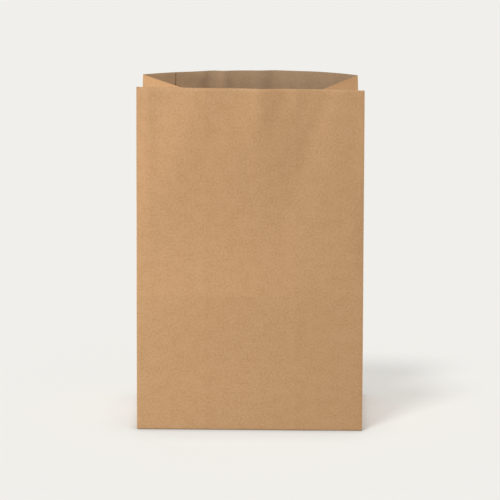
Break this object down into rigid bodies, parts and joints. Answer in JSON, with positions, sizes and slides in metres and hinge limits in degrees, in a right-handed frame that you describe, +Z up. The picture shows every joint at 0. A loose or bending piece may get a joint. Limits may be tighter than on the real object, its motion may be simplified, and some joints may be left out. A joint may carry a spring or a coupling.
{
  "type": "paper lunch bag",
  "caption": "Plain brown kraft paper lunch bag with side gussets and a folded, squared base, standing open at the top.",
  "frame": {"origin": "middle of the squared base, on the surface that the bag stands on", "axes": "+Z up to the open mouth; +X to the right across the front panel; +Y from the front panel to the back panel, which has the lap seam"},
  "size_m": [0.18, 0.108, 0.2722],
  "materials": {
    "kraft_paper": "unbleached brown kraft, machine-glazed to a faint satin outside and matt inside"
  },
  "bodies": {
    "root": {"paper_bag": "kraft_paper"}
  },
  "joints": []
}
